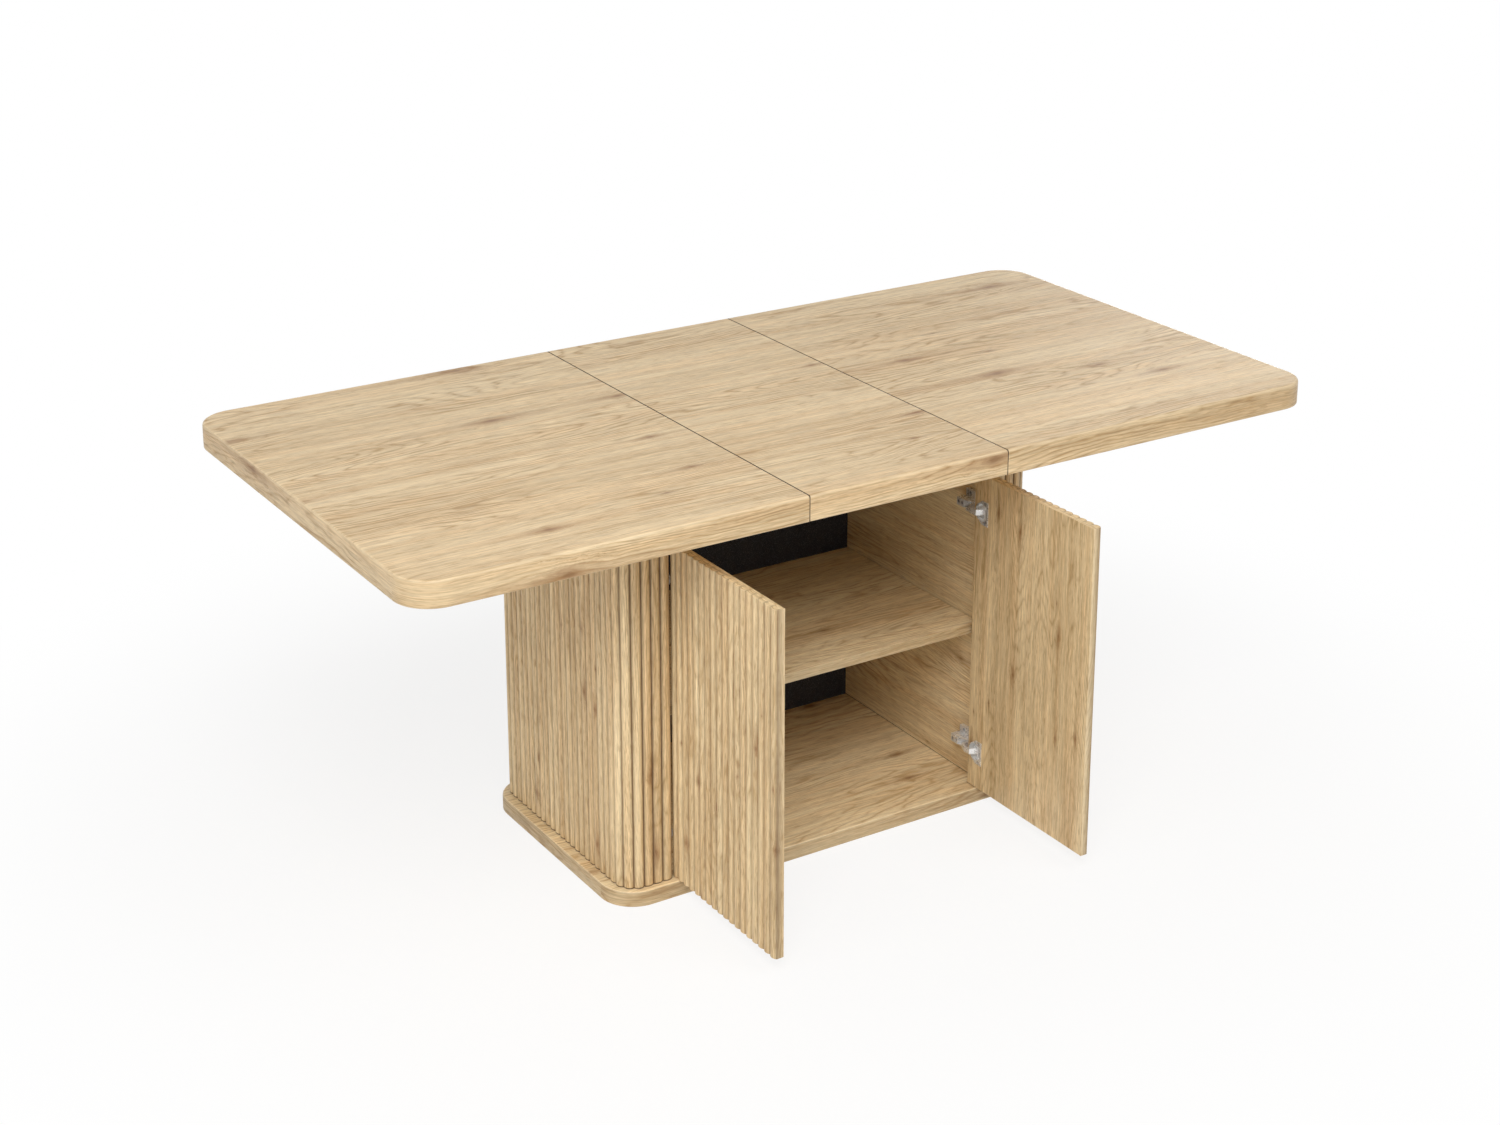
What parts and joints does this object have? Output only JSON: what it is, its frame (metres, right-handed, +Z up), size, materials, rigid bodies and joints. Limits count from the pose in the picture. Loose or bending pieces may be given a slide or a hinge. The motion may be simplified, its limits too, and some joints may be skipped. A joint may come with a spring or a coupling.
{
  "type": "extending dining table with storage cabinet",
  "caption": "Rectangular extending dining table with a lift-out middle leaf on a fluted storage cabinet with a shelf and a pair of fluted doors.",
  "frame": {"origin": "on the floor under the middle of the tabletop, at the underside of the plinth board", "axes": "+X along the table to the right of someone facing the doors, +Y to the back, away from the doors, +Z up"},
  "size_m": [1.8, 0.9983, 0.78],
  "materials": {
    "top_oak": "light oak laminate, satin, grain along the table",
    "fluted_oak": "light oak foil on fluted board, satin, upright grain",
    "panel_oak": "light oak laminate board, satin",
    "rib_board": "bare board, hidden",
    "beech": "plain beech",
    "dark_lining": "near black speckled board, matt",
    "slide_steel": "zinc plated, satin",
    "hinge_chrome": "nickel plated, bright",
    "screw_zinc": "zinc plated",
    "black_nylon": "moulded"
  },
  "bodies": {
    "cabinet": {"back_lining": "dark_lining", "cabinet_cap": "panel_oak", "cap_screws": "screw_zinc", "fluted_head_rail": "fluted_oak", "head_batten": "panel_oak", "left_arm_screws": "screw_zinc", "left_fluted_end": "fluted_oak", "left_front_track": "slide_steel", "left_hinge_arms": "hinge_chrome", "left_hinge_pins": "hinge_chrome", "left_hinge_plates": "hinge_chrome", "left_lower_rib": "rib_board", "left_middle_rib": "rib_board", "left_plate_screws": "screw_zinc", "left_rear_track": "slide_steel", "left_side_panel": "panel_oak", "left_upper_rib": "rib_board", "panel_dowels": "beech", "plinth_board": "panel_oak", "plinth_screws": "screw_zinc", "rear_fluted_panel": "fluted_oak", "right_arm_screws": "screw_zinc", "right_fluted_end": "fluted_oak", "right_front_track": "slide_steel", "right_hinge_arms": "hinge_chrome", "right_hinge_pins": "hinge_chrome", "right_hinge_plates": "hinge_chrome", "right_lower_rib": "rib_board", "right_middle_rib": "rib_board", "right_plate_screws": "screw_zinc", "right_rear_track": "slide_steel", "right_side_panel": "panel_oak", "right_upper_rib": "rib_board", "shelf": "panel_oak", "shelf_pins": "hinge_chrome", "track_screws": "screw_zinc", "track_stops": "black_nylon"},
    "door_left": {"left_door": "fluted_oak", "left_hinge_cups": "hinge_chrome", "left_hinge_cup_pins": "hinge_chrome", "left_cup_screws": "screw_zinc"},
    "door_right": {"right_door": "fluted_oak", "right_hinge_cups": "hinge_chrome", "right_hinge_cup_pins": "hinge_chrome", "right_cup_screws": "screw_zinc"},
    "links_left": {"left_hinge_links": "hinge_chrome"},
    "links_right": {"right_hinge_links": "hinge_chrome"},
    "top_left": {"left_top": "top_oak", "left_front_runner": "slide_steel", "left_rear_runner": "slide_steel", "left_runner_screws": "screw_zinc"},
    "top_right": {"right_top": "top_oak", "right_front_runner": "slide_steel", "right_rear_runner": "slide_steel", "right_runner_screws": "screw_zinc"},
    "leaf": {"middle_leaf": "top_oak", "middle_leaf_cleats": "beech", "middle_leaf_screws": "screw_zinc"}
  },
  "joints": [
    {"name": "left_door_hinge", "type": "hinge", "parent": "cabinet", "child": "door_left", "pos_m": [-0.3231, -0.22625, 0.3385], "axis": [0, 0, -1], "range_deg": [-90, 15]},
    {"name": "left_link_swing", "type": "hinge", "parent": "cabinet", "child": "links_left", "pos_m": [-0.3231, -0.205, 0.3385], "axis": [0, 0, -1], "range_deg": [-72, 12]},
    {"name": "right_door_hinge", "type": "hinge", "parent": "cabinet", "child": "door_right", "pos_m": [0.3231, -0.22625, 0.3385], "axis": [0, 0, 1], "range_deg": [-90, 15]},
    {"name": "right_link_swing", "type": "hinge", "parent": "cabinet", "child": "links_right", "pos_m": [0.3231, -0.205, 0.3385], "axis": [0, 0, 1], "range_deg": [-72, 12]},
    {"name": "left_top_slide", "type": "slide", "parent": "cabinet", "child": "top_left", "axis": [-1, 0, 0], "range_m": [0, 0.06]},
    {"name": "right_top_slide", "type": "slide", "parent": "cabinet", "child": "top_right", "axis": [1, 0, 0], "range_m": [0, 0.06]},
    {"name": "leaf_lift", "type": "slide", "parent": "cabinet", "child": "leaf", "axis": [0, 0, 1], "range_m": [0, 0.3]}
  ],
  "couplings": [
    {"joint": "left_link_swing", "follows": "left_door_hinge", "ratio": 0.8},
    {"joint": "right_link_swing", "follows": "right_door_hinge", "ratio": 0.8}
  ]
}
